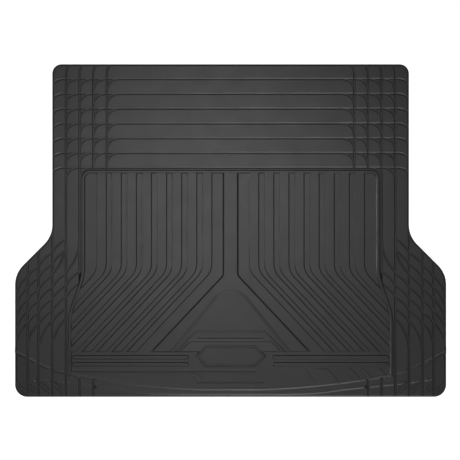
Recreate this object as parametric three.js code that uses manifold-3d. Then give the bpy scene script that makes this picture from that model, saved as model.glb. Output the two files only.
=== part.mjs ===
// Car boot liner: one moulded sheet of dark rubber. Trim lines cross its neck and its two wings,
// a ridge frames a centre panel of wide bands, and low bars and curved ridges cross its wide end.
// Millimetres. +X runs across the liner, +Y towards its narrow end and +Z up; the origin lies
// under the middle of the sheet, on the surface that the liner rests on.

import * as THREE from 'three';
import { mergeVertices } from 'three/addons/utils/BufferGeometryUtils.js';
import Module from 'manifold-3d';

const wasm = await Module();
wasm.setup();

// Sheet and outline
const SHEET_WIDTH = 1400; // across the wings
const SHEET_DEPTH = 1080; // from the wide end to the narrow end
const NECK_WIDTH = 1158; // between the wheel arches
const WING_SIDE = 401; // straight side of a wing, up to the corner of its flare
const FLARE_FILLET = 90; // both bends between neck and wing
const FLARE_STRAIGHT = 4; // least length left between those bends
const NECK_CORNER = 30; // corner radius at the narrow end
const WING_CORNER = 40; // corner radius at the wide end
const SHEET_THICKNESS = 3;
const RIM_WIDTH = 5; // bevel round the upper edge
const RIM_DROP = 1.7;

// Trim lines, which are shallow grooves to cut along
const TRIM_WIDTH = 8;
const TRIM_FLOOR = 2; // width of the flat bottom
const COLUMN_DEPTH = 1.4;
const ROW_DEPTH = 1.3;
const LINK_WIDTH = 7.4; // arcs and slopes that run between rows and columns
const LINK_DEPTH = 1.2;
const ROW_COUNT = 7;
const ROW_PITCH = 48;
const COLUMN_COUNT = 4;
const COLUMN_PITCH = 44.3;
const TRIM_ARC = 40; // radius of the arc that joins a row to a column
const ROW_RUNOUT = 6; // how far the last arc of a row passes the side edge
const COLUMN_RUNOUT = 10; // how far the first arc of a column passes the top edge

// Wing lines
const WING_LINES = [0, 45, 80]; // how far beyond the neck each one lies
const WING_MARGIN = 20; // least width of the cell outside the last of them
const NECK_LINE_LEAD = 15; // where the first of them starts, above the corner of the flare
const DIAGONAL_COUNT = 8;
const DIAGONAL_FIRST = 47; // below the flare, measured along Y
const DIAGONAL_PITCH = 37.7;
const DIAGONAL_DIP = 5; // how far the ends of a short diagonal hang below the slope
const INNER_DIAGONALS = [3, 4, 5]; // those that go on beyond the outermost column
const INNER_LEAVING = 2; // this one leaves the outermost column in a bend
const TICK_START = 12; // corner ticks: inset from their cell's left side and from the wide end
const TICK_SLOPE = 0.8;
const TICK_PITCH = 15;
const TICK_END = 6; // inset from their cell's right side
const TICK_WIDTH = 6;
const TICK_DEPTH = 1;

// Frame of the centre panel
const FRAME_WIDTH = 12.5;
const FRAME_RISE = 3;
const FRAME_DRAFT = 4;
const FRAME_CLEARANCE = 2.5; // between the frame and the trim line beside it
const FRAME_CORNER = 24; // to the middle of the ridge
const SPREAD_START = 395; // from the wide end: the frame widens by one column from here
const SPREAD_END = 268;
const SPREAD_FILLET = 200;
const FRAME_FOOT = 72; // from the wide end

// Bands and trunk
const BAND_WIDTH = 34; // at its foot
const BAND_PITCH = 49;
const BAND_RISE = 2.4;
const BAND_DRAFT = 2.6;
const FIRST_BAND = 59; // from the middle of the liner
const BAND_BEND = 408; // from the wide end, where the bands turn outwards
const BAND_TURN = THREE.MathUtils.degToRad(43.2); // away from the Y axis
const BAND_FILLET = 65;
const BAND_FOOT = 145; // from the wide end
const TRUNK_WIDTH = 53; // at its foot
const TRUNK_DRAFT = 6.5;
const TRUNK_BEND = 396; // from the wide end
const TRUNK_FILLET = 20;

// Soft arch on the trunk's foot
const ARCH_WIDTH = 10;
const ARCH_RISE = 0.8;
const ARCH_DRAFT = 4;
const ARCH_TOP = 343; // from the wide end
const ARCH_SHOULDER = 34; // half of the flat top
const ARCH_FOOT = 188; // half of the spread where it meets the trunk's foot
const ARCH_FILLET = 60;

// Plaque: a bare hexagon under a trapezoid bead and two fine grooves
const PLAQUE_MIDDLE = 133; // from the wide end
const PLAQUE_HEIGHT = 73;
const PLAQUE_FLAT = 166; // length of its upper side
const PLAQUE_WIDTH = 230; // from point to point
const PLAQUE_STAND = 0.6; // above the bands
const PLAQUE_EDGE = 2.4; // from the outer edge to the raised border
const PLAQUE_BORDER = 5;
const PLAQUE_STEP = 9.5; // from the outer edge to the raised field inside
const PLAQUE_RELIEF = 0.8;
const BEAD_WIDTH = 6;
const BEAD_RISE = 0.9;
const BEAD_DRAFT = 2;
const TRAPEZOID_LIFT = 43.5; // from the plaque's upper side
const TRAPEZOID_FLAT = 222; // length of its upper side
const FINE_WIDTH = 5;
const FINE_DEPTH = 0.8;
const FINE_DRAFT = 1.8;
const UPPER_FINE_LIFT = 21.5; // from the plaque's upper side
const UPPER_FINE_LENGTH = 214;
const LOWER_FINE_LIFT = 11.5;
const LOWER_FINE_LENGTH = 262;

// Bars, bead and leaning pads at the panel's foot
const BAR_WIDTH = 15;
const BAR_COUNT = 2;
const BAR_DROP = 16; // from the foot of the bands to the middle of the first bar
const BAR_PITCH = 23;
const BAR_LEAD = 27; // from the plaque's points to the bars
const BAR_GAP = 8; // from a bar's end to the inside of the frame
const PANEL_BEAD = 80; // from the wide end
const PANEL_BEAD_END = 83; // right of the middle
const FOOT_GROOVE = 47; // from the wide end
const FOOT_GROOVE_LENGTH = 216;
const PAD_RISE = 1;
const PAD_DRAFT = 1.8;
const PAD_TOP = 92; // from the wide end
const PAD_LEAN = 0.91; // run for each unit of drop
const PADS = [[278, 78], [149, 25], [102, 20], [47, 19]]; // inset from the frame, and length
const SMALL_PAD_START = 133; // left of the middle
const SMALL_PAD_LENGTH = 24;
const SMALL_PAD_TOP = 77;
const SMALL_PAD_FOOT = 54;

// Curved ridges across the wide end, as heights at even steps from the middle to the ridge's end
const CURVE_WIDTH = 12;
const CURVE_RISE = 1.4;
const CURVE_DRAFT = 4.5;
const UPPER_HEIGHTS = [27, 27.5, 32, 41, 53, 69.5, 97, 148];
const LOWER_HEIGHTS = [12, 12, 12, 15.5, 28, 37, 47, 60];
const LOWER_CURVE_INSET = 38; // how far short of the side it ends

const OUTLINE_STEPS = 6; // straight pieces in each rounded corner of the outline
const ARC_STEPS = 3; // straight pieces in every other bend
const SAG_STEPS = 2;
const CURVE_STEPS = 26;
const TOOL_LEAD = 0.4; // cutters and pads start their draft this far past the surface
const TOOL_DEPTH = 6; // and then run on straight by this much

const halfWidth = SHEET_WIDTH / 2;
const neckHalf = NECK_WIDTH / 2;
const top = SHEET_DEPTH / 2;
const bottom = -SHEET_DEPTH / 2;
const wingWidth = halfWidth - neckHalf;
const flareCorner = bottom + WING_SIDE + wingWidth;
const flareTangent = (wingWidth * Math.SQRT2 - FLARE_STRAIGHT) / 2;
const flareFillet = Math.min(FLARE_FILLET, flareTangent / Math.tan(Math.PI / 8));
const wingLines = WING_LINES.filter((offset) => offset + WING_MARGIN <= wingWidth)
  .map((offset) => neckHalf + offset);
const frameInset = TRIM_WIDTH / 2 + FRAME_CLEARANCE + FRAME_WIDTH / 2;
const frameTop = row(ROW_COUNT) - frameInset;
const frameHalf = column(2) - frameInset;
const frameFootHalf = column(1) - frameInset;
const frameFootInside = frameFootHalf - FRAME_WIDTH / 2;
const plateauTop = SHEET_THICKNESS + BAND_RISE;
const plaqueTop = PLAQUE_MIDDLE + PLAQUE_HEIGHT / 2;

function row(count) {
  return top - count * ROW_PITCH;
}

function column(count) {
  return neckHalf - count * COLUMN_PITCH;
}

function flareAt(x) {
  return flareCorner - (x - neckHalf);
}

function diagonalAt(count, x) {
  return flareAt(x) - DIAGONAL_FIRST - count * DIAGONAL_PITCH;
}

function point(x, y) {
  return new THREE.Vector2(x, y);
}

function mirrored(line) {
  return line.map((p) => point(-p.x, p.y)).reverse();
}

// Points of an arc about a centre, from one angle to another in degrees
function arc(x, y, radius, from, to) {
  const start = THREE.MathUtils.degToRad(from);
  const end = THREE.MathUtils.degToRad(to);
  return new THREE.EllipseCurve(x, y, radius, radius, start, end, end < start).getPoints(ARC_STEPS);
}

// The bend that replaces one corner between its neighbours
function fillet(before, corner, after, radius, steps = ARC_STEPS) {
  const back = before.clone().sub(corner).normalize();
  const ahead = after.clone().sub(corner).normalize();
  const halfAngle = Math.acos(THREE.MathUtils.clamp(back.dot(ahead), -1, 1)) / 2;
  const middle = back.clone().add(ahead).normalize().multiplyScalar(radius / Math.sin(halfAngle));
  const centre = corner.clone().add(middle);
  const start = corner.clone().addScaledVector(back, radius / Math.tan(halfAngle)).sub(centre);
  const turn = Math.sign(back.cross(ahead)) * (Math.PI - 2 * halfAngle);
  const bend = [];
  for (let i = 0; i <= steps; i += 1) {
    const spoke = start.clone().rotateAround(point(0, 0), (-turn * i) / steps);
    bend.push(spoke.add(centre));
  }
  return bend;
}

// An open line through corners given as [x, y, radius]
function roundedLine(corners) {
  const points = corners.map(([x, y]) => point(x, y));
  return points.flatMap((p, i) => {
    const radius = corners[i][2];
    return radius ? fillet(points[i - 1], p, points[i + 1], radius) : [p];
  });
}

// A strip of even width along a line, with mitred bends
function strip(line, width) {
  const left = [];
  const right = [];
  line.forEach((p, i) => {
    const before = line[Math.max(i - 1, 0)];
    const after = line[Math.min(i + 1, line.length - 1)];
    const arriving = p.clone().sub(before);
    const leaving = after.clone().sub(p);
    const inward = (i > 0 ? arriving : leaving).clone().normalize();
    const outward = (i < line.length - 1 ? leaving : arriving).clone().normalize();
    const along = inward.clone().add(outward).normalize();
    const reach = width / 2 / along.dot(inward);
    const side = point(-along.y, along.x).multiplyScalar(reach);
    left.push(p.clone().add(side));
    right.push(p.clone().sub(side));
  });
  return new THREE.Shape([...left, ...right.reverse()]);
}

function toSolid(geometry) {
  geometry.deleteAttribute('normal');
  geometry.deleteAttribute('uv');
  const merged = mergeVertices(geometry, 1e-4);
  return new wasm.Manifold(new wasm.Mesh({
    numProp: 3,
    vertProperties: merged.attributes.position.array,
    triVerts: Uint32Array.from(merged.index.array),
  }));
}

// Both ends of the extrusion narrow by the draft, so it serves as a raised pad or as a cutter.
// It has the shape's outline where it passes the surface, a lead away from its widest layer.
function draftedSolid(shape, height, draft, lead, widestLayer) {
  const geometry = new THREE.ExtrudeGeometry(shape, {
    depth: TOOL_DEPTH,
    bevelThickness: height + lead,
    bevelSize: draft + (draft * lead) / height,
    bevelOffset: -draft,
    bevelSegments: 1,
  });
  geometry.translate(0, 0, widestLayer);
  return toSolid(geometry);
}

// A pad that stands on a surface: the shape is its foot
function raised(shape, surface, rise, draft, lead = TOOL_LEAD) {
  return draftedSolid(shape, rise, draft, lead, surface - lead - TOOL_DEPTH);
}

// A cutter that sinks into a surface: the shape is its mouth
function sunken(shape, surface, depth, draft) {
  return draftedSolid(shape, depth, draft, TOOL_LEAD, surface + TOOL_LEAD);
}

function trimCuts(lines, width, depth) {
  const draft = (width - TRIM_FLOOR) / 2;
  return lines.map((line) => sunken(strip(line, width), SHEET_THICKNESS, depth, draft));
}

// The outline, or a line that runs inside it at an even distance
function sheetOutline(inset = 0) {
  const flareInset = inset * Math.tan(Math.PI / 8);
  const right = [
    [halfWidth - inset, bottom + inset, WING_CORNER - inset],
    [halfWidth - inset, bottom + WING_SIDE - flareInset, flareFillet - inset],
    [neckHalf - inset, flareCorner - flareInset, flareFillet + inset],
    [neckHalf - inset, top - inset, NECK_CORNER - inset],
  ];
  const left = right.map(([x, y, radius]) => [-x, y, radius]).reverse();
  const corners = [...right, ...left];
  const points = corners.map(([x, y]) => point(x, y));
  const ring = points.flatMap((p, i) => {
    const before = points[(i + points.length - 1) % points.length];
    const after = points[(i + 1) % points.length];
    return fillet(before, p, after, corners[i][2], OUTLINE_STEPS);
  });
  return new THREE.Shape(ring);
}

// Rows cross the neck and turn down into its side edges
function rowLines() {
  const lines = [];
  const centreX = neckHalf + ROW_RUNOUT - TRIM_ARC;
  const exit = Math.acos((neckHalf + TRIM_WIDTH / 2 - centreX) / TRIM_ARC);
  for (let count = 1; count <= ROW_COUNT; count += 1) {
    const end = arc(centreX, row(count) - TRIM_ARC, TRIM_ARC, 90, THREE.MathUtils.radToDeg(exit));
    lines.push([...mirrored(end), ...end]);
  }
  return lines;
}

// Columns turn down out of the top edge; the outermost runs on to the wide end
function columnLines() {
  const lines = [];
  const centreY = top + COLUMN_RUNOUT - TRIM_ARC;
  const exit = Math.asin((top + TRIM_WIDTH - centreY) / TRIM_ARC);
  const feet = [bottom - TRIM_WIDTH, bottom + SPREAD_START - FRAME_CORNER];
  for (let count = 1; count <= COLUMN_COUNT; count += 1) {
    const x = column(count);
    const start = arc(x - TRIM_ARC, centreY, TRIM_ARC, THREE.MathUtils.radToDeg(exit), 0);
    const foot = feet[count - 1] ?? row(ROW_COUNT);
    lines.push([...start, point(x, foot)]);
  }
  return lines;
}

// A quarter arc leads from each row into each column beside it
function cornerArcs() {
  const lines = [];
  for (let r = 1; r <= ROW_COUNT; r += 1) {
    const last = r < ROW_COUNT ? COLUMN_COUNT : COLUMN_COUNT - 2;
    for (let c = 1; c <= last; c += 1) {
      lines.push(arc(column(c) - TRIM_ARC, row(r) - TRIM_ARC, TRIM_ARC, 90, 0));
    }
  }
  return lines;
}

// Short columns run from the upper curved ridge to the wide end
function footColumns() {
  return [2, 3].map((count) => {
    const x = column(count);
    return [point(x, upperCurve.heightAt(x) - CURVE_WIDTH / 2), point(x, bottom - TRIM_WIDTH)];
  });
}

function wingColumns() {
  return wingLines.map((x) => {
    const start = x > neckHalf ? flareAt(x) + TRIM_WIDTH : flareCorner + NECK_LINE_LEAD;
    return [point(x, start), point(x, bottom - TRIM_WIDTH)];
  });
}

// Slopes between two wing lines: straight ones sag a little, first and last ones bend
function straightSlope(count, from, to) {
  const start = point(from, diagonalAt(count, from) - DIAGONAL_DIP);
  const end = point(to, diagonalAt(count, to) - DIAGONAL_DIP);
  const crown = start.clone().add(end).multiplyScalar(0.5).add(point(DIAGONAL_DIP, DIAGONAL_DIP));
  return new THREE.QuadraticBezierCurve(start, crown, end).getPoints(SAG_STEPS);
}

function eighthRadius(from, to) {
  return (to - from) / (1 - Math.SQRT1_2);
}

function leavingSlope(count, from, to) {
  const radius = eighthRadius(from, to);
  const y = diagonalAt(count, to) + radius * Math.SQRT1_2;
  return arc(from + radius, y, radius, 180, 225);
}

function landingSlope(count, from, to) {
  const radius = eighthRadius(from, to);
  const y = diagonalAt(count, from) - radius * Math.SQRT1_2;
  return arc(to - radius, y, radius, 45, 0);
}

function wingSlopes() {
  const lines = INNER_DIAGONALS.map((count, i) => (
    (i === 0 ? leavingSlope : straightSlope)(count, column(2), column(1))
  ));
  const sides = [column(1), ...wingLines, halfWidth + TRIM_WIDTH / 2];
  const lastCell = sides.length - 2;
  for (let cell = 0; cell <= lastCell; cell += 1) {
    const landing = DIAGONAL_COUNT - 1 - cell;
    for (let count = 0; count <= landing; count += 1) {
      let slope = straightSlope;
      if (cell === 0 && count === INNER_LEAVING) slope = leavingSlope;
      if (cell === lastCell || count === landing) slope = landingSlope;
      lines.push(slope(count, sides[cell], sides[cell + 1]));
    }
  }
  return lines;
}

// Two short ticks lean across the foot of each wing cell
function cornerTicks() {
  const sides = [column(1), ...wingLines, halfWidth];
  const ticks = [];
  for (let cell = 0; cell + 1 < sides.length; cell += 1) {
    const from = sides[cell] + TICK_START;
    const to = sides[cell + 1] - TICK_END;
    for (const lift of [0, TICK_PITCH]) {
      const y = bottom + TICK_START + lift;
      ticks.push([point(from, y), point(to, y + (to - from) * TICK_SLOPE)]);
    }
  }
  return ticks;
}

// A ridge line with equal halves, as a smooth curve and its height at any x
function curvedRidge(heights, reach) {
  const step = reach / (heights.length - 1);
  const half = heights.map((height, i) => point(i * step, bottom + height));
  const knots = [...mirrored(half.slice(1)), ...half];
  const line = new THREE.SplineCurve(knots).getPoints(CURVE_STEPS);
  function heightAt(x) {
    const next = line.findIndex((p) => p.x > x);
    const share = (x - line[next - 1].x) / (line[next].x - line[next - 1].x);
    return THREE.MathUtils.lerp(line[next - 1].y, line[next].y, share);
  }
  return { line, heightAt };
}

// The line of the frame, and the edge of the panel, down to a given height
function panelLine(foot) {
  const right = [
    [frameHalf, frameTop, FRAME_CORNER],
    [frameHalf, bottom + SPREAD_START, SPREAD_FILLET],
    [frameFootHalf, bottom + SPREAD_END, SPREAD_FILLET],
    [frameFootHalf, foot, 0],
  ];
  const left = right.map(([x, y, radius]) => [-x, y, radius]).reverse();
  return roundedLine([...left, ...right]);
}

// One side of a band: down from the panel's head, then outwards to below its foot
function bandSide(x, bend, radius) {
  const foot = bottom + BAND_FOOT - TRIM_WIDTH;
  const head = frameTop + TRIM_WIDTH;
  const run = (bottom + bend - foot) * Math.tan(BAND_TURN);
  return roundedLine([[x, head, 0], [x, bottom + bend, radius], [x + run, foot, 0]]);
}

function bandShapes() {
  const inside = frameHalf - FRAME_WIDTH / 2;
  const count = Math.floor((inside - FIRST_BAND + BAND_PITCH - BAND_WIDTH) / BAND_PITCH);
  const shapes = [];
  for (let i = 0; i < count; i += 1) {
    const x = FIRST_BAND + i * BAND_PITCH;
    const inner = bandSide(x, BAND_BEND, BAND_FILLET);
    const outer = bandSide(x + BAND_WIDTH, BAND_BEND, BAND_FILLET);
    const ring = [...inner, ...outer.reverse()];
    shapes.push(new THREE.Shape(ring), new THREE.Shape(mirrored(ring)));
  }
  return shapes;
}

function trunkShape() {
  const side = bandSide(TRUNK_WIDTH / 2, TRUNK_BEND, TRUNK_FILLET);
  return new THREE.Shape([...mirrored(side), ...side]);
}

function panelBands() {
  const bands = bandShapes().map((shape) => raised(shape, SHEET_THICKNESS, BAND_RISE, BAND_DRAFT));
  const trunk = raised(trunkShape(), SHEET_THICKNESS, BAND_RISE, TRUNK_DRAFT);
  const panel = new THREE.Shape(panelLine(bottom + BAND_FOOT));
  const panelBlock = raised(panel, SHEET_THICKNESS, BAND_RISE + BAND_DRAFT, BAND_RISE + BAND_DRAFT);
  return wasm.Manifold.union([trunk, ...bands]).intersect(panelBlock);
}

function panelFrame() {
  const line = panelLine(bottom + FRAME_FOOT);
  return raised(strip(line, FRAME_WIDTH), SHEET_THICKNESS, FRAME_RISE, FRAME_DRAFT);
}

function softArch() {
  const foot = bottom + BAND_FOOT + BEAD_WIDTH;
  const right = [[ARCH_SHOULDER, bottom + ARCH_TOP, ARCH_FILLET], [ARCH_FOOT, foot, 0]];
  const left = right.map(([x, y, radius]) => [-x, y, radius]).reverse();
  const line = roundedLine([...left, ...right]);
  return raised(strip(line, ARCH_WIDTH), plateauTop, ARCH_RISE, ARCH_DRAFT);
}

function hexagonCorners(inset) {
  const half = PLAQUE_WIDTH / 2 - inset * Math.SQRT2;
  const flat = PLAQUE_FLAT / 2 - inset * (Math.SQRT2 - 1);
  const rise = PLAQUE_HEIGHT / 2 - inset;
  const middle = bottom + PLAQUE_MIDDLE;
  return [
    point(half, middle),
    point(flat, middle + rise),
    point(-flat, middle + rise),
    point(-half, middle),
    point(-flat, middle - rise),
    point(flat, middle - rise),
  ];
}

function plaque() {
  const rise = BAND_RISE + PLAQUE_STAND;
  const body = raised(new THREE.Shape(hexagonCorners(0)), SHEET_THICKNESS, rise, BEAD_DRAFT);
  const face = SHEET_THICKNESS + rise;
  const border = new THREE.Shape(hexagonCorners(PLAQUE_EDGE));
  border.holes.push(new THREE.Path(hexagonCorners(PLAQUE_EDGE + PLAQUE_BORDER)));
  const field = new THREE.Shape(hexagonCorners(PLAQUE_STEP));
  return wasm.Manifold.union([
    body,
    raised(border, face, PLAQUE_RELIEF, PLAQUE_RELIEF),
    raised(field, face, PLAQUE_RELIEF, PLAQUE_RELIEF),
  ]);
}

// The trapezoid's flanks lean at half a right angle, down to the trunk's foot
function trapezoidLine(height, flat) {
  const drop = height - BAND_FOOT - BEAD_WIDTH;
  const y = bottom + height;
  return [
    point(-flat / 2 - drop, y - drop),
    point(-flat / 2, y),
    point(flat / 2, y),
    point(flat / 2 + drop, y - drop),
  ];
}

function level(y, from, to) {
  return [point(from, bottom + y), point(to, bottom + y)];
}

function plaqueSurround() {
  const line = trapezoidLine(plaqueTop + TRAPEZOID_LIFT, TRAPEZOID_FLAT);
  return raised(strip(line, BEAD_WIDTH), plateauTop, BEAD_RISE, BEAD_DRAFT);
}

function fineGrooves() {
  const lines = [
    level(plaqueTop + UPPER_FINE_LIFT, -UPPER_FINE_LENGTH / 2, UPPER_FINE_LENGTH / 2),
    trapezoidLine(plaqueTop + LOWER_FINE_LIFT, LOWER_FINE_LENGTH),
  ];
  const cuts = lines.map((line) => sunken(strip(line, FINE_WIDTH), plateauTop, FINE_DEPTH, FINE_DRAFT));
  const foot = level(FOOT_GROOVE, -FOOT_GROOVE_LENGTH / 2, FOOT_GROOVE_LENGTH / 2);
  cuts.push(sunken(strip(foot, FINE_WIDTH), SHEET_THICKNESS, FINE_DEPTH, FINE_DRAFT));
  return cuts;
}

function footBars() {
  const lines = [];
  for (let i = 0; i < BAR_COUNT; i += 1) {
    const y = BAND_FOOT - BAR_DROP - i * BAR_PITCH;
    lines.push(level(y, PLAQUE_WIDTH / 2 + BAR_LEAD, frameFootInside - BAR_GAP));
  }
  return bothSides(lines).map((line) => (
    raised(strip(line, BAR_WIDTH), SHEET_THICKNESS, BAND_RISE, BAND_DRAFT)
  ));
}

function panelBead() {
  const line = level(PANEL_BEAD, -frameFootHalf, PANEL_BEAD_END);
  return raised(strip(line, BEAD_WIDTH), SHEET_THICKNESS, BEAD_RISE, BEAD_DRAFT);
}

function leaningPad(x, length, head, foot) {
  const run = (head - foot) * PAD_LEAN;
  const shape = new THREE.Shape([
    point(x, head),
    point(x + run, foot),
    point(x + run + length, foot),
    point(x + length, head),
  ]);
  return raised(shape, SHEET_THICKNESS, PAD_RISE, PAD_DRAFT);
}

function leaningPads() {
  const head = bottom + PAD_TOP;
  const pads = PADS.map(([inset, length]) => {
    const x = frameFootInside - inset;
    return leaningPad(x, length, head, upperCurve.heightAt(x + length));
  });
  const small = [bottom + SMALL_PAD_TOP, bottom + SMALL_PAD_FOOT];
  pads.push(leaningPad(-SMALL_PAD_START, SMALL_PAD_LENGTH, ...small));
  return pads;
}

const upperCurve = curvedRidge(UPPER_HEIGHTS, halfWidth);
const lowerCurve = curvedRidge(LOWER_HEIGHTS, halfWidth - LOWER_CURVE_INSET);

function curvedRidges() {
  const ridges = [upperCurve, lowerCurve].map(({ line }) => (
    raised(strip(line, CURVE_WIDTH), SHEET_THICKNESS, CURVE_RISE, CURVE_DRAFT)
  ));
  const inside = raised(sheetOutline(RIM_WIDTH + RIM_DROP), SHEET_THICKNESS, 2 * CURVE_RISE, RIM_DROP);
  return wasm.Manifold.union(ridges).intersect(inside);
}

function sheetBlank() {
  return raised(sheetOutline(), SHEET_THICKNESS - RIM_DROP, RIM_DROP, RIM_WIDTH, 0);
}

function bothSides(lines) {
  return [...lines, ...lines.map(mirrored)];
}

function allTrimCuts() {
  const columns = bothSides([...columnLines(), ...footColumns(), ...wingColumns()]);
  const links = bothSides([...cornerArcs(), ...wingSlopes()]);
  return [
    ...trimCuts(rowLines(), TRIM_WIDTH, ROW_DEPTH),
    ...trimCuts(columns, TRIM_WIDTH, COLUMN_DEPTH),
    ...trimCuts(links, LINK_WIDTH, LINK_DEPTH),
    ...trimCuts(bothSides(cornerTicks()), TICK_WIDTH, TICK_DEPTH),
  ];
}

function everythingBelow() {
  const block = new THREE.BoxGeometry(2 * SHEET_WIDTH, 2 * SHEET_DEPTH, 2 * SHEET_DEPTH);
  block.translate(0, 0, -SHEET_DEPTH);
  return toSolid(block);
}

function linerSolid() {
  const { union } = wasm.Manifold;
  const trimmed = sheetBlank().add(curvedRidges()).subtract(union(allTrimCuts()));
  const dressed = union([
    trimmed,
    panelBands(),
    panelFrame(),
    softArch(),
    plaqueSurround(),
    ...footBars(),
    panelBead(),
    ...leaningPads(),
  ]);
  return dressed.subtract(union(fineGrooves())).add(plaque()).subtract(everythingBelow());
}

function toGeometry(solid) {
  const { vertProperties, triVerts } = solid.getMesh();
  const geometry = new THREE.BufferGeometry();
  geometry.setAttribute('position', new THREE.BufferAttribute(vertProperties, 3));
  geometry.setIndex(new THREE.BufferAttribute(triVerts, 1));
  return geometry;
}

const rubber = new THREE.MeshStandardMaterial({ color: 0x3f4041, roughness: 0.62, metalness: 0 });
const liner = new THREE.Mesh(toGeometry(linerSolid()), rubber);
liner.name = 'boot_liner';

const part = new THREE.Group();
part.add(liner);

export default part;
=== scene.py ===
import math

import bpy
import numpy as np
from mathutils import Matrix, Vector
from mathutils.geometry import delaunay_2d_cdt


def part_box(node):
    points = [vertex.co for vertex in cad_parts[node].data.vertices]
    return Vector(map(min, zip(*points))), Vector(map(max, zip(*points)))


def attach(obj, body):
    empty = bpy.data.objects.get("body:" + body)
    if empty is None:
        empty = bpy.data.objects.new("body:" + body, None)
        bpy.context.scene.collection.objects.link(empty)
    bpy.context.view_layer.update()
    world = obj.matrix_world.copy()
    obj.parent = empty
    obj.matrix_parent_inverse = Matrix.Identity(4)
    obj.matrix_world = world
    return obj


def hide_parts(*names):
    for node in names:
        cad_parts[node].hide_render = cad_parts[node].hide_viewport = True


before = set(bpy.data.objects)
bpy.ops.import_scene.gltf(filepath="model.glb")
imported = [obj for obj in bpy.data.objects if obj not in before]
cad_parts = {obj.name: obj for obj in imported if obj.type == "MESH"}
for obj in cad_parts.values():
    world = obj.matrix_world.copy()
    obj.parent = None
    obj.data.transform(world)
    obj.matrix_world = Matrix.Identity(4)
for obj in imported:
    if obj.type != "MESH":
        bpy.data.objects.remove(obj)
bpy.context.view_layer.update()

# The fine surface of the liner is one sheet whose height at any point follows from its features:
# the rim, the trim grooves, the bands, the frame and the ornaments at the wide end.
# The layout is the solid's. The relief is a little stronger, so that it shows at the photo's size.
# Layout values are in millimetres, and MM turns them into metres.
NODE = "boot_liner"
MM = 0.001
sheet_low, sheet_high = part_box(NODE)
HALF_WIDTH = sheet_high[0] / MM
TOP = sheet_high[1] / MM
BOTTOM = sheet_low[1] / MM

# Sheet and outline
NECK_HALF = 579
WING_SIDE = 401
FLARE_FILLET = 90
NECK_CORNER = 30
WING_CORNER = 40
THICKNESS = 3
RIM_WIDTH = 7
RIM_DROP = 2.8
RIM_POWER = 1.6

# Trim grooves
TRIM_WIDTH = 8
TRIM_FLOOR = 2
COLUMN_DEPTH = 1.6
ROW_DEPTH = 1.3
LINK_WIDTH = 7.4
LINK_DEPTH = 1.6
ROW_COUNT = 7
ROW_PITCH = 48
COLUMN_COUNT = 4
COLUMN_PITCH = 44.3
TRIM_ARC = 40
ROW_RUNOUT = 6
COLUMN_RUNOUT = 10

# Wing lines
WING_STEPS = [0, 45, 80]
NECK_LINE_LEAD = 15
DIAGONAL_COUNT = 8
DIAGONAL_FIRST = 47
DIAGONAL_PITCH = 37.7
DIAGONAL_DIP = 5
INNER_DIAGONALS = [3, 4, 5]
INNER_LEAVING = 2
TICK_START = 12
TICK_SLOPE = 0.8
TICK_PITCH = 15
TICK_END = 6
TICK_WIDTH = 6
TICK_DEPTH = 1

# Frame of the centre panel
FRAME_WIDTH = 12.5
FRAME_RISE = 3.4
FRAME_DRAFT = 3.8
FRAME_CLEARANCE = 2.5
FRAME_CORNER = 24
SPREAD_START = 395
SPREAD_END = 268
SPREAD_FILLET = 200
FRAME_FOOT = 72

# Bands and trunk
BAND_COUNT = 8
BAND_WIDTH = 34
BAND_PITCH = 49
BAND_RISE = 2.4
BAND_DRAFT = 3.5
FIRST_BAND = 59
BAND_BEND = 408
BAND_TURN = math.radians(43.2)
BAND_FILLET = 65
BAND_FOOT = 145
TRUNK_WIDTH = 53
TRUNK_DRAFT = 6.5
TRUNK_BEND = 396
TRUNK_FILLET = 20
ARCH_WIDTH = 10
ARCH_RISE = 0.8
ARCH_DRAFT = 4
ARCH_TOP = 343
ARCH_SHOULDER = 34
ARCH_FOOT = 188
ARCH_FILLET = 60

# Plaque and what surrounds it
PLAQUE_MIDDLE = 133
PLAQUE_HEIGHT = 73
PLAQUE_FLAT = 166
PLAQUE_WIDTH = 230
PLAQUE_STAND = 0.2
PLAQUE_EDGE = 2.4
PLAQUE_BORDER = 5
PLAQUE_STEP = 9.5
PLAQUE_RELIEF = 1.2
BEAD_WIDTH = 6
BEAD_RISE = 1.3
BEAD_DRAFT = 2
TRAPEZOID_LIFT = 43.5
TRAPEZOID_FLAT = 222
FINE_WIDTH = 5
FINE_DEPTH = 1.2
FINE_DRAFT = 1.8
UPPER_FINE_LIFT = 21.5
UPPER_FINE_LENGTH = 214
LOWER_FINE_LIFT = 11.5
LOWER_FINE_LENGTH = 262

# Bars, bead and leaning pads at the panel's foot
BAR_WIDTH = 15
BAR_COUNT = 2
BAR_DROP = 16
BAR_PITCH = 23
BAR_LEAD = 27
BAR_GAP = 8
PANEL_BEAD = 80
PANEL_BEAD_END = 83
FOOT_GROOVE = 47
FOOT_GROOVE_LENGTH = 216
PAD_RISE = 1.5
PAD_DRAFT = 1.8
PAD_TOP = 92
PAD_LEAN = 0.91
# Each pad's start, as far inside the frame, and its length
PADS = [(278, 78), (149, 25), (102, 20), (47, 19)]
SMALL_PAD_START = 133
SMALL_PAD_LENGTH = 24
SMALL_PAD_TOP = 77
SMALL_PAD_FOOT = 54

# Curved ridges across the wide end
CURVE_WIDTH = 12
CURVE_RISE = 1.4
CURVE_DRAFT = 4.5
# Heights above the wide end, at even steps from the middle to each side
UPPER_HEIGHTS = [27, 27.5, 32, 41, 53, 69.5, 97, 148]
LOWER_HEIGHTS = [12, 12, 12, 15.5, 28, 37, 47, 60]
LOWER_CURVE_INSET = 38

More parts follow.
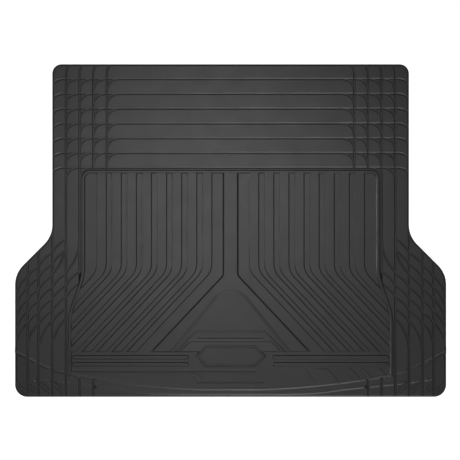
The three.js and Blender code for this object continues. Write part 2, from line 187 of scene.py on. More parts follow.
# How finely the surface is drawn: rows are shares of the width of a wall or of the rim
OUTLINE_STEPS = 18
ARC_STEPS = 12
SPREAD_STEPS = 16
CURVE_STEPS = 12
CAP_STEPS = 4
WALL_ROWS = (0, 0.15, 0.85, 1)
RIDGE_ROWS = (*WALL_ROWS, 1.3)
PLAQUE_ROWS = (*WALL_ROWS, 1.7)
RIM_ROWS = (0.04, 0.14, 0.3, 0.5, 0.71, 1)
EDGE_ROUNDING = 0.15
RIDGE_END = 2
MERGE = 0.02
SLIVER = 0.0005
NORMAL_REACH = 0.01

# Painted highlight on the raised edges, which are also made a little glossier
EDGE_HIGHLIGHT_NAME = "edge_highlight"
EDGE_HIGHLIGHT_REACH = 0.8
EDGE_HIGHLIGHT_DROP = 0.15

# Places that follow from the values above
WING_LINES = [NECK_HALF + step for step in WING_STEPS]
FRAME_INSET = TRIM_WIDTH / 2 + FRAME_CLEARANCE + FRAME_WIDTH / 2
FLARE_CORNER = BOTTOM + WING_SIDE + HALF_WIDTH - NECK_HALF
PLATEAU = THICKNESS + BAND_RISE


def row(count):
    return TOP - count * ROW_PITCH


def column(count):
    return NECK_HALF - count * COLUMN_PITCH


FRAME_TOP = row(ROW_COUNT) - FRAME_INSET
FRAME_HALF = column(2) - FRAME_INSET
FRAME_FOOT_HALF = column(1) - FRAME_INSET
FRAME_FOOT_INSIDE = FRAME_FOOT_HALF - FRAME_WIDTH / 2
PLAQUE_TOP = PLAQUE_MIDDLE + PLAQUE_HEIGHT / 2


def flare_at(x):
    return FLARE_CORNER - (x - NECK_HALF)


def diagonal_at(count, x):
    return flare_at(x) - DIAGONAL_FIRST - count * DIAGONAL_PITCH


def mirrored(line):
    return (line * (-1, 1))[::-1]


def both_sides(lines):
    return [*lines, *(mirrored(line) for line in lines)]


def arc(x, y, radius, start, end, steps=ARC_STEPS):
    angles = np.radians(np.linspace(start, end, steps + 1))
    return np.column_stack((x + radius * np.cos(angles), y + radius * np.sin(angles)))


def unit(v):
    return v / np.linalg.norm(v, axis=-1, keepdims=True)


# The bend that replaces one corner between its neighbours
def fillet(before, corner, after, radius, steps=ARC_STEPS):
    before, corner, after = (np.array(p, float) for p in (before, corner, after))
    back = unit(before - corner)
    ahead = unit(after - corner)
    half_angle = math.acos(np.clip(back @ ahead, -1, 1)) / 2
    centre = corner + unit(back + ahead) * radius / math.sin(half_angle)
    spoke = corner + back * radius / math.tan(half_angle) - centre
    side = np.sign(back[0] * ahead[1] - back[1] * ahead[0])
    turns = -side * (math.pi - 2 * half_angle) * np.arange(steps + 1) / steps
    cos, sin = np.cos(turns), np.sin(turns)
    return centre + np.column_stack((spoke[0] * cos - spoke[1] * sin, spoke[0] * sin + spoke[1] * cos))


# An open line through corners given as (x, y, radius)
def rounded_line(corners, steps=ARC_STEPS):
    points = [(x, y) for x, y, _ in corners]
    pieces = []
    for i, (x, y, radius) in enumerate(corners):
        if radius:
            pieces.append(fillet(points[i - 1], (x, y), points[i + 1], radius, steps))
        else:
            pieces.append(np.array([(x, y)], float))
    return np.concatenate(pieces)


def with_left(right):
    return [*((-x, y, radius) for x, y, radius in reversed(right)), *right]


# A line moved sideways, to its left for a positive distance, with mitred bends
def offset(line, distance, closed=False):
    if closed:
        arriving = unit(line - np.roll(line, 1, axis=0))
        leaving = np.roll(arriving, -1, axis=0)
    else:
        steps = unit(np.diff(line, axis=0))
        arriving = np.concatenate((steps[:1], steps))
        leaving = np.concatenate((steps, steps[-1:]))
    along = unit(arriving + leaving)
    reach = distance / np.sum(along * arriving, axis=1, keepdims=True)
    return line + np.column_stack((-along[:, 1], along[:, 0])) * reach


# The ring at a distance from an open line, with round ends
def around(line, reach):
    ring = []
    for side in (line, line[::-1]):
        left = offset(side, reach)
        sideways = (left[-1] - side[-1]) / reach
        ahead = unit(side[-1:] - side[-2:-1])[0]
        turns = np.linspace(0, math.pi, CAP_STEPS + 1)[1:-1, None]
        ring += [left, side[-1] + reach * (np.cos(turns) * sideways + np.sin(turns) * ahead)]
    return np.concatenate([*ring, ring[0][:1]])


def sheet_outline(inset=0):
    flare_inset = inset * math.tan(math.pi / 8)
    corners = with_left([
        (HALF_WIDTH - inset, BOTTOM + inset, WING_CORNER - inset),
        (HALF_WIDTH - inset, BOTTOM + WING_SIDE - flare_inset, FLARE_FILLET - inset),
        (NECK_HALF - inset, FLARE_CORNER - flare_inset, FLARE_FILLET + inset),
        (NECK_HALF - inset, TOP - inset, NECK_CORNER - inset),
    ][::-1])
    points = [(x, y) for x, y, _ in corners]
    count = len(points)
    bends = [
        fillet(points[i - 1], points[i], points[(i + 1) % count], corners[i][2], OUTLINE_STEPS)
        for i in range(count)
    ]
    return np.concatenate(bends)


def row_lines():
    centre_x = NECK_HALF + ROW_RUNOUT - TRIM_ARC
    last = math.degrees(math.acos((NECK_HALF + TRIM_WIDTH / 2 - centre_x) / TRIM_ARC))
    lines = []
    for count in range(1, ROW_COUNT + 1):
        end = arc(centre_x, row(count) - TRIM_ARC, TRIM_ARC, 90, last)
        lines.append(np.concatenate((mirrored(end), end)))
    return lines


def column_lines():
    centre_y = TOP + COLUMN_RUNOUT - TRIM_ARC
    first = math.degrees(math.asin((TOP + TRIM_WIDTH - centre_y) / TRIM_ARC))
    feet = [BOTTOM - TRIM_WIDTH, BOTTOM + SPREAD_START - FRAME_CORNER, row(ROW_COUNT), row(ROW_COUNT)]
    lines = []
    for count in range(1, COLUMN_COUNT + 1):
        x = column(count)
        start = arc(x - TRIM_ARC, centre_y, TRIM_ARC, first, 0)
        lines.append(np.concatenate((start, [(x, feet[count - 1])])))
    return lines


def corner_arcs():
    lines = []
    for r in range(1, ROW_COUNT + 1):
        last = COLUMN_COUNT if r < ROW_COUNT else COLUMN_COUNT - 2
        for c in range(1, last + 1):
            lines.append(arc(column(c) - TRIM_ARC, row(r) - TRIM_ARC, TRIM_ARC, 90, 0))
    return lines


def foot_columns():
    lines = []
    for count in (2, 3):
        x = column(count)
        start = curve_height(UPPER_CURVE, x) - CURVE_WIDTH / 2
        lines.append(np.array([(x, start), (x, BOTTOM - TRIM_WIDTH)]))
    return lines


def wing_columns():
    lines = []
    for x in WING_LINES:
        start = flare_at(x) + TRIM_WIDTH if x > NECK_HALF else FLARE_CORNER + NECK_LINE_LEAD
        lines.append(np.array([(x, start), (x, BOTTOM - TRIM_WIDTH)]))
    return lines


def straight_slope(count, start_x, end_x):
    start = np.array((start_x, diagonal_at(count, start_x) - DIAGONAL_DIP))
    end = np.array((end_x, diagonal_at(count, end_x) - DIAGONAL_DIP))
    crown = (start + end) / 2 + DIAGONAL_DIP
    t = np.linspace(0, 1, ARC_STEPS // 2 + 1)[:, None]
    return (1 - t) ** 2 * start + 2 * t * (1 - t) * crown + t ** 2 * end


def leaving_slope(count, start_x, end_x):
    radius = (end_x - start_x) / (1 - math.sqrt(0.5))
    y = diagonal_at(count, end_x) + radius * math.sqrt(0.5)
    return arc(start_x + radius, y, radius, 180, 225)


def landing_slope(count, start_x, end_x):
    radius = (end_x - start_x) / (1 - math.sqrt(0.5))
    y = diagonal_at(count, start_x) - radius * math.sqrt(0.5)
    return arc(end_x - radius, y, radius, 45, 0)


def wing_slopes():
    lines = [leaving_slope(INNER_DIAGONALS[0], column(2), column(1))]
    lines += [straight_slope(count, column(2), column(1)) for count in INNER_DIAGONALS[1:]]
    sides = [column(1), *WING_LINES, HALF_WIDTH + TRIM_WIDTH / 2]
    last_cell = len(sides) - 2
    for cell in range(last_cell + 1):
        landing = DIAGONAL_COUNT - 1 - cell
        for count in range(landing + 1):
            slope = straight_slope
            if cell == 0 and count == INNER_LEAVING:
                slope = leaving_slope
            if cell == last_cell or count == landing:
                slope = landing_slope
            lines.append(slope(count, sides[cell], sides[cell + 1]))
    return lines


def corner_ticks():
    sides = [column(1), *WING_LINES, HALF_WIDTH]
    ticks = []
    for left, right in zip(sides, sides[1:]):
        start, end = left + TICK_START, right - TICK_END
        for lift in (0, TICK_PITCH):
            y = BOTTOM + TICK_START + lift
            ticks.append(np.array([(start, y), (end, y + (end - start) * TICK_SLOPE)]))
    return ticks


# A smooth line through heights at even steps, with equal halves
def curved_line(heights, reach):
    half = np.column_stack((np.linspace(0, reach, len(heights)), BOTTOM + np.array(heights, float)))
    knots = np.concatenate((mirrored(half[1:]), half))
    guides = np.concatenate((knots[:1], knots, knots[-1:]))
    pieces = []
    for i in range(len(knots) - 1):
        a, b, c, d = guides[i:i + 4]
        t = np.linspace(0, 1, CURVE_STEPS, endpoint=False)[:, None]
        from_b, from_c = (c - a) / 2, (d - b) / 2
        pieces.append(
            (2 * b - 2 * c + from_b + from_c) * t ** 3
            + (3 * c - 3 * b - 2 * from_b - from_c) * t ** 2 + from_b * t + b)
    return np.concatenate((*pieces, knots[-1:]))


def curve_height(line, x):
    return float(np.interp(x, line[:, 0], line[:, 1]))


UPPER_CURVE = curved_line(UPPER_HEIGHTS, HALF_WIDTH)
LOWER_CURVE = curved_line(LOWER_HEIGHTS, HALF_WIDTH - LOWER_CURVE_INSET)


def panel_line(foot):
    return rounded_line(with_left([
        (FRAME_HALF, FRAME_TOP, FRAME_CORNER),
        (FRAME_HALF, BOTTOM + SPREAD_START, SPREAD_FILLET),
        (FRAME_FOOT_HALF, BOTTOM + SPREAD_END, SPREAD_FILLET),
        (FRAME_FOOT_HALF, foot, 0),
    ]), SPREAD_STEPS)


def band_side(x, bend, radius):
    foot = BOTTOM + BAND_FOOT - TRIM_WIDTH
    run = (BOTTOM + bend - foot) * math.tan(BAND_TURN)
    return rounded_line([(x, FRAME_TOP + TRIM_WIDTH, 0), (x, BOTTOM + bend, radius), (x + run, foot, 0)])


def band_rings():
    rings = []
    for i in range(BAND_COUNT):
        x = FIRST_BAND + i * BAND_PITCH
        inner = band_side(x, BAND_BEND, BAND_FILLET)
        outer = band_side(x + BAND_WIDTH, BAND_BEND, BAND_FILLET)
        rings.append(np.concatenate((inner, outer[::-1])))
    return both_sides(rings)


def trunk_ring():
    side = band_side(TRUNK_WIDTH / 2, TRUNK_BEND, TRUNK_FILLET)
    return np.concatenate((mirrored(side), side))


def level(y, start_x, end_x):
    return np.array([(start_x, BOTTOM + y), (end_x, BOTTOM + y)], float)


def arch_line():
    foot = BOTTOM + BAND_FOOT + BEAD_WIDTH
    return rounded_line(with_left([(ARCH_SHOULDER, BOTTOM + ARCH_TOP, ARCH_FILLET), (ARCH_FOOT, foot, 0)]))


def trapezoid_line(height, flat):
    drop = height - BAND_FOOT - BEAD_WIDTH
    y = BOTTOM + height
    return np.array([
        (-flat / 2 - drop, y - drop), (-flat / 2, y), (flat / 2, y), (flat / 2 + drop, y - drop)])


def hexagon():
    half, flat, rise = PLAQUE_WIDTH / 2, PLAQUE_FLAT / 2, PLAQUE_HEIGHT / 2
    middle = BOTTOM + PLAQUE_MIDDLE
    return np.array([
        (half, middle), (flat, middle + rise), (-flat, middle + rise),
        (-half, middle), (-flat, middle - rise), (flat, middle - rise)])


def bar_lines():
    start = PLAQUE_WIDTH / 2 + BAR_LEAD
    end = FRAME_FOOT_INSIDE - BAR_GAP
    return both_sides([
        level(BAND_FOOT - BAR_DROP - i * BAR_PITCH, start, end) for i in range(BAR_COUNT)])


def leaning_pad(x, length, head, foot):
    run = (head - foot) * PAD_LEAN
    return np.array([(x, head), (x + run, foot), (x + run + length, foot), (x + length, head)])


def pad_rings():
    rings = []
    for inset, length in PADS:
        x = FRAME_FOOT_INSIDE - inset
        rings.append(leaning_pad(x, length, BOTTOM + PAD_TOP, curve_height(UPPER_CURVE, x + length)))
    small = (BOTTOM + SMALL_PAD_TOP, BOTTOM + SMALL_PAD_FOOT)
    rings.append(leaning_pad(-SMALL_PAD_START, SMALL_PAD_LENGTH, *small))
    return rings


# Share of a wall's height at a share of its width: a straight slope with rounded foot and shoulder
def wall(t):
    t = np.clip(t, 0, 1)
    r = EDGE_ROUNDING
    foot = t ** 2 / (2 * r * (1 - r))
    slope = (t - r / 2) / (1 - r)
    shoulder = 1 - (1 - t) ** 2 / (2 * r * (1 - r))
    return np.where(t < r, foot, np.where(t < 1 - r, slope, shoulder))


def closed_ring(ring):
    return np.concatenate((ring, ring[:1]))


def near(points, line, reach):
    low, high = line.min(axis=0) - reach, line.max(axis=0) + reach
    return np.flatnonzero(np.all((points >= low) & (points <= high), axis=1))


def distance(points, line):
    best = np.full(len(points), np.inf)
    for a, b in zip(line, line[1:]):
        along = b - a
        t = np.clip((points - a) @ along / (along @ along), 0, 1)
        gap = points - a - t[:, None] * along
        best = np.minimum(best, np.einsum("ij,ij->i", gap, gap))
    return np.sqrt(best)


# Distance to a ring, negative outside it
def depth_inside(points, ring):
    inside = np.zeros(len(points), bool)
    x, y = points.T
    for (ax, ay), (bx, by) in zip(ring, np.roll(ring, -1, axis=0)):
        if ay != by:
            crosses = (ay > y) != (by > y)
            inside ^= crosses & (x < (bx - ax) * (y - ay) / (by - ay) + ax)
    return np.where(inside, 1, -1) * distance(points, closed_ring(ring))


class Groove:
    """Cuts below a surface along a line, and through the curved ridges that it meets."""

    def __init__(self, line, width, draft, depth, surface=THICKNESS):
        self.line = line
        self.half = width / 2
        self.draft = draft
        self.depth = depth
        self.surface = surface

    def rows(self):
        return [around(self.line, self.half - self.draft * t) for t in WALL_ROWS]

    def shape(self, points, z):
        near_by = near(points, self.line, self.half + RIDGE_END)
        gap = distance(points[near_by], self.line)
        cut = self.surface - self.depth * wall((self.half - gap) / self.draft)
        flank = self.surface + CURVE_RISE * wall((gap - self.half) / RIDGE_END)
        limit = np.where(gap < self.half, cut, flank)
        reached = gap < self.half + RIDGE_END
        z[near_by[reached]] = np.minimum(z[near_by], limit)[reached]


class Ridge:
    """Stands on a surface along a line."""

    def __init__(self, line, width, draft, rise, surface=THICKNESS, fade=None):
        self.line = line
        self.half = width / 2
        self.draft = draft
        self.rise = rise
        self.surface = surface
        self.fade = fade

    def rows(self):
        return [around(self.line, self.half - self.draft * t) for t in RIDGE_ROWS]

    def shape(self, points, z):
        near_by = near(points, self.line, self.half)
        gap = distance(points[near_by], self.line)
        share = wall((self.half - gap) / self.draft)
        if self.fade:
            share *= self.fade(points[near_by])
        height = self.surface + self.rise * share
        z[near_by] = np.where(gap < self.half, np.maximum(z[near_by], height), z[near_by])


class Pad:
    """Stands on a surface inside a ring, and ends at the border's walls where it has a border."""

    def __init__(self, ring, draft, rise, surface=THICKNESS, border=None):
        self.ring = ring
        self.draft = draft
        self.rise = rise
        self.surface = surface
        self.border = border

    def rows(self):
        x, y = self.ring.T
        turn = np.sign(np.sum(x * np.roll(y, -1) - y * np.roll(x, -1)))
        return [closed_ring(offset(self.ring, turn * self.draft * t, closed=True)) for t in RIDGE_ROWS]

    def shape(self, points, z):
        near_by = near(points, self.ring, 0)
        depth = depth_inside(points[near_by], self.ring)
        share = wall(depth / self.draft)
        if self.border is not None:
            share = np.minimum(share, wall(depth_inside(points[near_by], self.border) / BAND_DRAFT))
        inside = share > 0
        height = self.surface + self.rise * share
        z[near_by] = np.where(inside, np.maximum(z[near_by], height), z[near_by])


class Plaque:
    """A hexagonal block with a raised border and a raised field."""

    steps = (PLAQUE_EDGE, PLAQUE_EDGE + PLAQUE_BORDER, PLAQUE_STEP)

    def rows(self):
        insets = [BEAD_DRAFT * t for t in RIDGE_ROWS]
        insets += [self.steps[0] + PLAQUE_RELIEF * t for t in PLAQUE_ROWS]
        insets += [self.steps[1] - PLAQUE_RELIEF * t for t in PLAQUE_ROWS]
        insets += [self.steps[2] + PLAQUE_RELIEF * t for t in PLAQUE_ROWS]
        return [closed_ring(offset(hexagon(), inset, closed=True)) for inset in insets]

    def shape(self, points, z):
        near_by = near(points, hexagon(), 0)
        depth = depth_inside(points[near_by], hexagon())
        body = (BAND_RISE + PLAQUE_STAND) * wall(depth / BEAD_DRAFT)
        border_outside = wall((depth - self.steps[0]) / PLAQUE_RELIEF)
        border_inside = wall((self.steps[1] - depth) / PLAQUE_RELIEF)
        field = wall((depth - self.steps[2]) / PLAQUE_RELIEF)
        height = THICKNESS + body + PLAQUE_RELIEF * (border_outside * border_inside + field)
        z[near_by] = np.where(depth > 0, np.maximum(z[near_by], height), z[near_by])


OUTLINE = sheet_outline()


def edge_depth(points):
    return depth_inside(points, OUTLINE)


def away_from_rim(points):
    return wall((edge_depth(points) - RIM_WIDTH) / RIDGE_END + 1)


def trim(lines, width, depth):
    return [Groove(line, width, (width - TRIM_FLOOR) / 2, depth) for line in lines]


def curved_ridges():
    return [
        Ridge(line, CURVE_WIDTH, CURVE_DRAFT, CURVE_RISE, fade=away_from_rim)
        for line in (UPPER_CURVE, LOWER_CURVE)
    ]


def trim_grooves():
    columns = both_sides([*column_lines(), *foot_columns(), *wing_columns()])
    links = both_sides([*corner_arcs(), *wing_slopes()])
    return [
        *trim(row_lines(), TRIM_WIDTH, ROW_DEPTH),
        *trim(columns, TRIM_WIDTH, COLUMN_DEPTH),
        *trim(links, LINK_WIDTH, LINK_DEPTH),
        *trim(both_sides(corner_ticks()), TICK_WIDTH, TICK_DEPTH),
    ]


def panel_features():
    panel = panel_line(BOTTOM + BAND_FOOT)
    return [
        *(Pad(ring, BAND_DRAFT, BAND_RISE, border=panel) for ring in band_rings()),
        Pad(trunk_ring(), TRUNK_DRAFT, BAND_RISE, border=panel),
        Ridge(panel_line(BOTTOM + FRAME_FOOT), FRAME_WIDTH, FRAME_DRAFT, FRAME_RISE),
        Ridge(arch_line(), ARCH_WIDTH, ARCH_DRAFT, ARCH_RISE, PLATEAU),
    ]


def ornaments():
    trapezoid = trapezoid_line(PLAQUE_TOP + TRAPEZOID_LIFT, TRAPEZOID_FLAT)
    panel_bead = level(PANEL_BEAD, -FRAME_FOOT_HALF, PANEL_BEAD_END)
    upper_fine = level(PLAQUE_TOP + UPPER_FINE_LIFT, -UPPER_FINE_LENGTH / 2, UPPER_FINE_LENGTH / 2)
    lower_fine = trapezoid_line(PLAQUE_TOP + LOWER_FINE_LIFT, LOWER_FINE_LENGTH)
    foot_groove = level(FOOT_GROOVE, -FOOT_GROOVE_LENGTH / 2, FOOT_GROOVE_LENGTH / 2)
    return [
        Ridge(trapezoid, BEAD_WIDTH, BEAD_DRAFT, BEAD_RISE, PLATEAU),
        Ridge(panel_bead, BEAD_WIDTH, BEAD_DRAFT, BEAD_RISE),
        *(Ridge(line, BAR_WIDTH, BAND_DRAFT, BAND_RISE) for line in bar_lines()),
        *(Pad(ring, PAD_DRAFT, PAD_RISE) for ring in pad_rings()),
        Groove(upper_fine, FINE_WIDTH, FINE_DRAFT, FINE_DEPTH, PLATEAU),
        Groove(lower_fine, FINE_WIDTH, FINE_DRAFT, FINE_DEPTH, PLATEAU),
        Groove(foot_groove, FINE_WIDTH, FINE_DRAFT, FINE_DEPTH),
        Plaque(),
    ]


# Later features are laid over or cut through earlier ones
FEATURES = [*curved_ridges(), *trim_grooves(), *panel_features(), *ornaments()]


def surface_height(points):
    rim = np.clip(edge_depth(points) / RIM_WIDTH, 0, 1)
    z = THICKNESS - RIM_DROP * (1 - np.sqrt(1 - (1 - rim) ** RIM_POWER))
    for feature in FEATURES:
        feature.shape(points, z)
    return z


def surface_normals(points):
    east, north = np.array((NORMAL_REACH, 0)), np.array((0, NORMAL_REACH))
    slope_x = surface_height(points + east) - surface_height(points - east)
    slope_y = surface_height(points + north) - surface_height(points - north)
    return unit(np.column_stack((-slope_x, -slope_y, np.full(len(points), 2 * NORMAL_REACH))))


# Share of painted edge highlight: 1 on a sharp outward edge, 0 on a flat or in a corner
def surface_edge_highlight(points):
    steps = np.array(((1, 0), (-1, 0), (0, 1), (0, -1))) * EDGE_HIGHLIGHT_REACH
    beside = np.mean([surface_height(points + step) for step in steps], axis=0)
    return np.clip((surface_height(points) - beside) / EDGE_HIGHLIGHT_DROP, 0, 1)


# Triangles over the inside of the outline, with sides along the given edges, and no slivers along it
def triangulated(points, edges, merge):
    flat, _, triangles, *_ = delaunay_2d_cdt([tuple(p) for p in points], edges, [], 0, merge, False)
    flat = np.array([tuple(p) for p in flat])
    triangles = np.array([tuple(t) for t in triangles])
    middles = flat[triangles].mean(axis=1)
    return flat, triangles[edge_depth(middles) > SLIVER]


def triangulated_lines(lines):
    edges = []
    start = 0
    for line in lines:
        edges += [(i, i + 1) for i in range(start, start + len(line) - 1)]
        start += len(line)
    flat, triangles = triangulated(np.concatenate(lines), edges, MERGE)
    used, renumbered = np.unique(triangles, return_inverse=True)
    return flat[used], renumbered.reshape(triangles.shape)


# Directed edges that only one triangle has
def border_edges(triangles):
    edges = np.concatenate((triangles[:, [0, 1]], triangles[:, [1, 2]], triangles[:, [2, 0]]))
    known = set(map(tuple, edges.tolist()))
    return [(a, b) for a, b in known if (b, a) not in known]


def ordered_ring(edges):
    following = dict(edges)
    ring = [min(following)]
    while following[ring[-1]] != ring[0]:
        ring.append(following[ring[-1]])
    return ring


# Every line that the triangles follow
def drawn_lines():
    rim_rows = [closed_ring(sheet_outline(RIM_WIDTH * t)) for t in RIM_ROWS]
    foot_rows = [
        level(BAND_FOOT + BAND_DRAFT * t, -FRAME_FOOT_HALF, FRAME_FOOT_HALF) for t in RIDGE_ROWS]
    feature_rows = [line for feature in FEATURES for line in feature.rows()]
    return [closed_ring(OUTLINE), *rim_rows, *foot_rows, *feature_rows]


def outward_normals(flat, ring):
    ahead = unit(np.roll(flat[ring], -1, axis=0) - np.roll(flat[ring], 1, axis=0))
    return np.column_stack((ahead[:, 1], -ahead[:, 0], np.zeros(len(ring))))


# Share of painted edge highlight at each point of the surface, and none at the lower points
def point_edge_highlight(upper, below_count):
    raised = upper[:, 2] > THICKNESS + EDGE_HIGHLIGHT_DROP
    highlit = np.where(raised, surface_edge_highlight(upper[:, :2]), 0)
    return np.concatenate((highlit, np.zeros(below_count)))


# The surface, closed by a side wall and a flat underside
def liner_mesh():
    flat, triangles = triangulated_lines(drawn_lines())
    ring = ordered_ring(border_edges(triangles))
    count = len(flat)
    upper = np.column_stack((flat, surface_height(flat)))
    lower = np.column_stack((flat[ring], np.zeros(len(ring))))
    ring_edges = [(i, (i + 1) % len(ring)) for i in range(len(ring))]
    _, underside = triangulated(flat[ring], ring_edges, 0)
    faces = [tuple(t) for t in triangles.tolist()]
    walls = [(count + a, count + b, ring[b], ring[a]) for a, b in ring_edges]
    under = [tuple(count + i for i in reversed(face)) for face in underside.tolist()]
    mesh = bpy.data.meshes.new(NODE + "_rubber")
    mesh.from_pydata(np.concatenate((upper, lower)) * MM, [], faces + walls + under)
    mesh.shade_smooth()
    # The share of painted edge highlight, kept on the points
    edge_highlight = mesh.attributes.new(EDGE_HIGHLIGHT_NAME, "FLOAT", "POINT")
    edge_highlight.data.foreach_set("value", point_edge_highlight(upper, len(ring)))
    top_normals = surface_normals(flat)[triangles].reshape(-1, 3)
    outward = outward_normals(flat, ring)
    wall_normals = [outward[i] for a, b in ring_edges for i in (a, b, b, a)]
    under_normals = np.tile((0, 0, -1), (3 * len(under), 1))
    mesh.normals_split_custom_set(np.concatenate((top_normals, wall_normals, under_normals)))
    return mesh


# Rubber: scales in cells per metre, depths in metres
RUBBER_DARK = (0.0115, 0.0115, 0.0117)
RUBBER_LIGHT = (0.0145, 0.0145, 0.0147)
RUBBER_BLOOM = (0.026, 0.026, 0.026)
# Colour of the painted highlight on the raised edges
RUBBER_EDGE_HIGHLIGHT = (0.022, 0.022, 0.022)
BLOOM_SHARE = 0.12
CLOUD_SCALE = 14
SPECK_SCALE = 160
HIGHLIGHT_PATCH_SCALE = 90
HIGHLIGHT_PATCH_LEAST = 0.7
BROAD_DETAIL = 3
FINE_DETAIL = 2
NOISE_LOW = 0.3
NOISE_HIGH = 0.7
GLOSS_SCALE = 16
ROUGHNESS = 0.38
ROUGHNESS_SPREAD = 0.025
EDGE_GLOSS = 0.012
SPECULAR = 0.42
SHEEN = 0.02
SHEEN_ROUGHNESS = 0.5
PEBBLE_SCALE = 800
PEBBLE_DEPTH = 0.00005
TOOTH_SCALE = 2600
TOOTH_DEPTH = 0.000015


class NodeTree:
    """Adds nodes to a material or a world, and links them."""

    def __init__(self, owner):
        owner.use_nodes = True
        self.tree = owner.node_tree

    def add(self, kind):
        return self.tree.nodes.new("ShaderNode" + kind)

    def give(self, socket, value):
        if isinstance(value, bpy.types.NodeSocket):
            self.tree.links.new(value, socket)
        elif isinstance(value, tuple):
            socket.default_value = (*value, 1)
        else:
            socket.default_value = value

    def place(self):
        return self.add("TexCoord").outputs["Object"]

    def noise(self, scale, detail):
        texture = self.add("TexNoise")
        self.give(texture.inputs["Scale"], scale)
        self.give(texture.inputs["Detail"], detail)
        self.give(texture.inputs["Vector"], self.place())
        return texture.outputs["Fac"]

    def cells(self, scale):
        texture = self.add("TexVoronoi")
        texture.feature = "SMOOTH_F1"
        self.give(texture.inputs["Scale"], scale)
        self.give(texture.inputs["Vector"], self.place())
        return texture.outputs["Distance"]

    def ranged(self, value, low, high, start=NOISE_LOW, end=NOISE_HIGH):
        node = self.add("MapRange")
        self.give(node.inputs["Value"], value)
        self.give(node.inputs["From Min"], start)
        self.give(node.inputs["From Max"], end)
        self.give(node.inputs["To Min"], low)
        self.give(node.inputs["To Max"], high)
        return node.outputs["Result"]

    def combined(self, operation, first, second):
        node = self.add("Math")
        node.operation = operation
        self.give(node.inputs[0], first)
        self.give(node.inputs[1], second)
        return node.outputs[0]

    def mixed(self, share, low, high):
        node = self.add("Mix")
        node.data_type = "RGBA"
        self.give(node.inputs["Factor"], share)
        self.give(node.inputs["A"], low)
        self.give(node.inputs["B"], high)
        return node.outputs["Result"]

    def bump(self, height, depth):
        node = self.add("Bump")
        self.give(node.inputs["Distance"], depth)
        self.give(node.inputs["Height"], height)
        return node

    # A value that is 1 for the given kinds of ray and 0 for all others
    def ray_share(self, *kinds):
        rays = self.add("LightPath").outputs
        share = rays[kinds[0]]
        for kind in kinds[1:]:
            share = self.combined("MAXIMUM", share, rays[kind])
        return share


# Share of painted edge highlight and edge gloss: the mesh's raised-edge share, uneven in patches
def edge_highlight_share(tree):
    edge_highlight = tree.add("Attribute")
    edge_highlight.attribute_name = EDGE_HIGHLIGHT_NAME
    patches = tree.ranged(tree.noise(HIGHLIGHT_PATCH_SCALE, FINE_DETAIL), HIGHLIGHT_PATCH_LEAST, 1)
    return tree.combined("MULTIPLY", edge_highlight.outputs["Fac"], patches)


# Black rubber with soft clouds, a pale bloom in patches and a painted highlight that makes the raised
# edges paler
def rubber_colour(tree, edge_highlight_and_gloss):
    clouds = tree.ranged(tree.noise(CLOUD_SCALE, BROAD_DETAIL), 0, 1)
    specks = tree.ranged(tree.noise(SPECK_SCALE, FINE_DETAIL), 0, 1)
    plain = tree.mixed(clouds, RUBBER_DARK, RUBBER_LIGHT)
    bloomed = tree.mixed(tree.combined("MULTIPLY", specks, BLOOM_SHARE), plain, RUBBER_BLOOM)
    return tree.mixed(edge_highlight_and_gloss, bloomed, RUBBER_EDGE_HIGHLIGHT)


# Uneven gloss, smoother on the raised edges that carry the painted highlight
def rubber_roughness(tree, edge_highlight_and_gloss):
    glossy, dull = ROUGHNESS - ROUGHNESS_SPREAD, ROUGHNESS + ROUGHNESS_SPREAD
    uneven = tree.ranged(tree.noise(GLOSS_SCALE, BROAD_DETAIL), glossy, dull)
    return tree.combined("SUBTRACT", uneven, tree.combined("MULTIPLY", edge_highlight_and_gloss, EDGE_GLOSS))


# Pebble grain of the mould with a finer tooth on it
def rubber_grain(tree):
    pebbles = tree.bump(tree.cells(PEBBLE_SCALE), PEBBLE_DEPTH)
    pebbles.invert = True
    tooth = tree.bump(tree.noise(TOOTH_SCALE, FINE_DETAIL), TOOTH_DEPTH)
    tree.give(tooth.inputs["Normal"], pebbles.outputs["Normal"])
    return tooth.outputs["Normal"]


def rubber_material():
    material = bpy.data.materials.new("moulded_rubber")
    tree = NodeTree(material)
    shader = tree.tree.nodes["Principled BSDF"]
    edge_highlight_and_gloss = edge_highlight_share(tree)
    tree.give(shader.inputs["Base Color"], rubber_colour(tree, edge_highlight_and_gloss))
    tree.give(shader.inputs["Roughness"], rubber_roughness(tree, edge_highlight_and_gloss))
    tree.give(shader.inputs["Normal"], rubber_grain(tree))
    tree.give(shader.inputs["Specular IOR Level"], SPECULAR)
    tree.give(shader.inputs["Sheen Weight"], SHEEN)
    tree.give(shader.inputs["Sheen Roughness"], SHEEN_ROUGHNESS)
    return material


liner = bpy.data.objects.new("boot_liner_rubber", liner_mesh())
bpy.context.scene.collection.objects.link(liner)
liner.data.materials.append(rubber_material())
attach(liner, "root")
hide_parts(NODE)

# Floor, in metres
FLOOR_REACH = 12
FLOOR_LEVEL = -0.0005
FLOOR_COLOUR = (0.85, 0.85, 0.85)
FLOOR_ROUGHNESS = 0.9
FLOOR_GLOW = 0.6
WHITE = (1, 1, 1)


# A pale floor that takes the liner's shadow, and glows only for the rays that show it
def floor_material():
    material = bpy.data.materials.new("pale_floor")
    tree = NodeTree(material)
    shader = tree.tree.nodes["Principled BSDF"]
    shown = tree.ray_share("Is Camera Ray", "Is Glossy Ray", "Is Transmission Ray")
    tree.give(shader.inputs["Base Color"], FLOOR_COLOUR)
    tree.give(shader.inputs["Roughness"], FLOOR_ROUGHNESS)
    tree.give(shader.inputs["Emission Color"], WHITE)
    tree.give(shader.inputs["Emission Strength"], tree.combined("MULTIPLY", shown, FLOOR_GLOW))
    return material


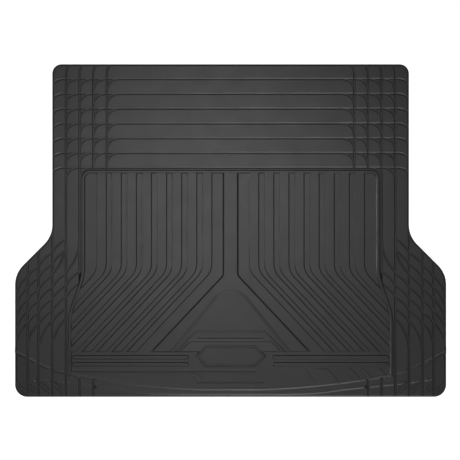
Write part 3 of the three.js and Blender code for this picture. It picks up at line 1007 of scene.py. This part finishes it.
bpy.ops.mesh.primitive_plane_add(size=2 * FLOOR_REACH, location=(0, 0, FLOOR_LEVEL))
floor = bpy.context.object
floor.name = "floor"
floor.data.materials.append(floor_material())

# Camera straight above the liner, in metres
VIEW_WIDTH = 1.494
CAMERA_HEIGHT = 4.5
VIEW_CENTRE = (-0.002, 0.0019)
camera_data = bpy.data.cameras.new("camera")
camera = bpy.data.objects.new("camera", camera_data)
camera.location = (*VIEW_CENTRE, CAMERA_HEIGHT)
camera_data.lens = camera_data.sensor_width * CAMERA_HEIGHT / VIEW_WIDTH
bpy.context.scene.collection.objects.link(camera)
bpy.context.scene.camera = camera

# Lights: places and sizes in metres, power in watts
STRIP_HEIGHT = 0.3
STRIP_SPREAD = math.radians(9)
WORLD_LEVEL = 0.07


def area_light(name, place, size, power, target=(0, 0, 0)):
    data = bpy.data.lights.new(name, "AREA")
    data.shape = "DISK"
    data.size = size
    data.energy = power
    lamp = bpy.data.objects.new(name, data)
    lamp.location = place
    away = Vector(np.subtract(place, target))
    lamp.rotation_euler = away.to_track_quat("Z", "Y").to_euler()
    lamp.visible_camera = False
    bpy.context.scene.collection.objects.link(lamp)
    return data


area_light("overhead", place=(-0.13, 0.24, 2.5), size=1.4, power=16)
area_light("ceiling", place=(-0.2, 0, 3.6), size=4, power=19)
area_light("south", place=(0.35, -3.0, 3.0), size=1.5, power=66)

# A low strip in the west, turned to the east half of the sheet
strip = area_light("west", place=(-2.6, 0, 0.45), size=2.4, power=0.4, target=(0.95, 0, 0))
strip.shape = "RECTANGLE"
strip.size_y = STRIP_HEIGHT
strip.spread = STRIP_SPREAD


# A world that looks white and lights the liner only a little
def pale_world():
    world = bpy.data.worlds.new("world")
    tree = NodeTree(world)
    background = tree.tree.nodes["Background"]
    seen = tree.ray_share("Is Camera Ray", "Is Transmission Ray")
    tree.give(background.inputs["Color"], WHITE)
    tree.give(background.inputs["Strength"], tree.ranged(seen, WORLD_LEVEL, 1, start=0, end=1))
    return world


bpy.context.scene.world = pale_world()
bpy.context.scene.view_settings.view_transform = "Standard"
